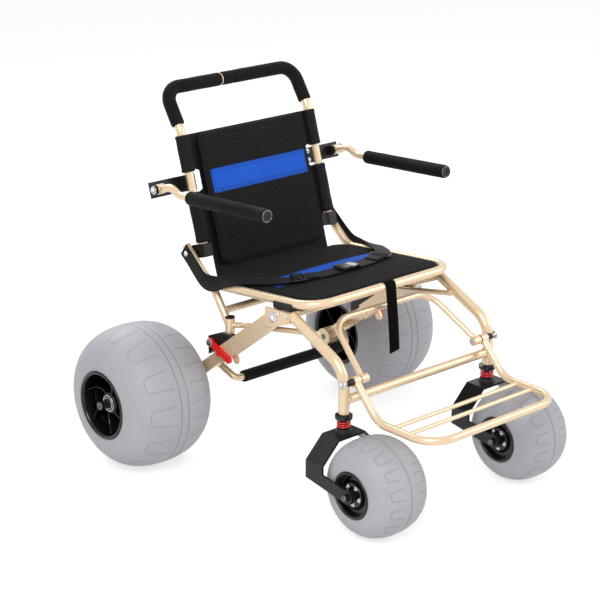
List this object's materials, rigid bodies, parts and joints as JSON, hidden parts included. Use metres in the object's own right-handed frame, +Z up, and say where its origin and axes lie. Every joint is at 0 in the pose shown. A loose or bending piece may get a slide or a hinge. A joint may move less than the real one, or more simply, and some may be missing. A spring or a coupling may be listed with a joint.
{
  "type": "beach wheelchair",
  "caption": "Folding beach wheelchair with balloon tyres, sprung swivel casters, tube frame, mesh seat and back, lift-up armrests and a fold-up footrest.",
  "frame": {"origin": "bottom centre of the bounding box, on the floor under the middle of the chair", "axes": "+Z up; the chair faces -Y, so the sitter's right is -X"},
  "size_m": [1.0334, 1.0316, 0.9262],
  "materials": {
    "frame_gold": "satin champagne gold",
    "grey_tyre": "smooth matte grey",
    "black_plastic": "fine-grained black",
    "black_foam": "soft matte black foam",
    "black_fabric": "black woven mesh",
    "blue_fabric": "bright blue mesh",
    "red_plastic": "satin red",
    "red_spring": "gloss red coating",
    "black_metal": "satin black powder coat",
    "steel": "bright plated"
  },
  "bodies": {
    "chassis": {"seat_rail": "frame_gold", "rear_struts": "frame_gold", "strut_plugs": "black_plastic", "strut_cross_tube": "frame_gold", "lower_stays": "frame_gold", "front_leg_right": "frame_gold", "front_leg_left": "frame_gold", "knuckles": "frame_gold", "knuckle_cross_tube": "frame_gold", "saddles": "black_plastic", "front_crossbar": "frame_gold", "calf_hoop": "frame_gold", "seat_pad": "black_fabric", "seat_stripe": "blue_fabric", "belt_right": "black_fabric", "belt_left": "black_fabric", "belt_adjusters": "black_plastic", "belt_buckle": "black_plastic", "storage_strap": "black_fabric", "spring_rings": "black_plastic", "footrest_spacers": "black_plastic", "frame_bolts": "steel"},
    "rear_legs": {"beam_right": "frame_gold", "beam_left": "frame_gold", "rear_bar": "frame_gold", "rear_bar_grip": "black_foam", "latch_blocks": "black_plastic", "axle_right": "steel", "axle_left": "steel"},
    "latch_right": {"latch_lever_right": "red_plastic"},
    "latch_left": {"latch_lever_left": "red_plastic"},
    "rear_wheel_right": {"rear_tyre_right": "grey_tyre", "rear_hub_right": "black_plastic"},
    "rear_wheel_left": {"rear_tyre_left": "grey_tyre", "rear_hub_left": "black_plastic"},
    "backrest": {"back_tube": "frame_gold", "handle_grips": "black_foam", "back_cover": "black_fabric", "back_pad": "black_fabric", "back_stripe": "blue_fabric", "hinge_blocks": "black_plastic", "arm_brackets": "black_plastic"},
    "armrest_right": {"arm_tube_right": "frame_gold", "arm_pad_right": "black_foam"},
    "armrest_left": {"arm_tube_left": "frame_gold", "arm_pad_left": "black_foam"},
    "footrest": {"footrest_frame": "frame_gold", "footrest_slats": "frame_gold"},
    "caster_slide_right": {"caster_stem_right": "black_metal", "caster_spring_right": "red_spring"},
    "caster_fork_right": {"fork_right": "black_metal"},
    "caster_wheel_right": {"caster_tyre_right": "grey_tyre", "caster_hub_right": "black_plastic"},
    "caster_slide_left": {"caster_stem_left": "black_metal", "caster_spring_left": "red_spring"},
    "caster_fork_left": {"fork_left": "black_metal"},
    "caster_wheel_left": {"caster_tyre_left": "grey_tyre", "caster_hub_left": "black_plastic"}
  },
  "joints": [
    {"name": "back_fold", "type": "hinge", "parent": "chassis", "child": "backrest", "pos_m": [0, 0.32694, 0.51781], "axis": [1, 0, 0], "range_deg": [0, 78]},
    {"name": "rear_leg_fold", "type": "hinge", "parent": "chassis", "child": "rear_legs", "pos_m": [0, -0.01425, 0.443], "axis": [-1, 0, 0], "range_deg": [0, 25]},
    {"name": "latch_lift_right", "type": "hinge", "parent": "rear_legs", "child": "latch_right", "pos_m": [-0.2585, 0.22375, 0.314], "axis": [-1, 0, 0], "range_deg": [0, 20]},
    {"name": "latch_lift_left", "type": "hinge", "parent": "rear_legs", "child": "latch_left", "pos_m": [0.2585, 0.22375, 0.314], "axis": [-1, 0, 0], "range_deg": [0, 20]},
    {"name": "rear_wheel_spin_right", "type": "hinge", "parent": "rear_legs", "child": "rear_wheel_right", "pos_m": [-0.393, 0.33575, 0.18], "axis": [1, 0, 0], "continuous": true},
    {"name": "rear_wheel_spin_left", "type": "hinge", "parent": "rear_legs", "child": "rear_wheel_left", "pos_m": [0.393, 0.33575, 0.18], "axis": [1, 0, 0], "continuous": true},
    {"name": "arm_lift_right", "type": "hinge", "parent": "backrest", "child": "armrest_right", "pos_m": [-0.295, 0.36958, 0.68463], "axis": [-1, 0, 0], "range_deg": [0, 95]},
    {"name": "arm_lift_left", "type": "hinge", "parent": "backrest", "child": "armrest_left", "pos_m": [0.295, 0.36958, 0.68463], "axis": [-1, 0, 0], "range_deg": [0, 95]},
    {"name": "footrest_fold", "type": "hinge", "parent": "chassis", "child": "footrest", "pos_m": [0, -0.25425, 0.34], "axis": [-1, 0, 0], "range_deg": [0, 95]},
    {"name": "suspension_right", "type": "slide", "parent": "chassis", "child": "caster_slide_right", "axis": [0, 0, 1], "range_m": [0, 0.008], "stiffness_N_per_m": 20000, "springref_m": -0.01, "deforming": ["caster_spring_right"]},
    {"name": "caster_swivel_right", "type": "hinge", "parent": "caster_slide_right", "child": "caster_fork_right", "pos_m": [-0.243, -0.24625, 0.2], "axis": [0, 0, 1], "continuous": true},
    {"name": "caster_spin_right", "type": "hinge", "parent": "caster_fork_right", "child": "caster_wheel_right", "pos_m": [-0.243, -0.35825, 0.118], "axis": [1, 0, 0], "continuous": true},
    {"name": "suspension_left", "type": "slide", "parent": "chassis", "child": "caster_slide_left", "axis": [0, 0, 1], "range_m": [0, 0.008], "stiffness_N_per_m": 20000, "springref_m": -0.01, "deforming": ["caster_spring_left"]},
    {"name": "caster_swivel_left", "type": "hinge", "parent": "caster_slide_left", "child": "caster_fork_left", "pos_m": [0.243, -0.24625, 0.2], "axis": [0, 0, 1], "continuous": true},
    {"name": "caster_spin_left", "type": "hinge", "parent": "caster_fork_left", "child": "caster_wheel_left", "pos_m": [0.243, -0.35825, 0.118], "axis": [1, 0, 0], "continuous": true}
  ]
}
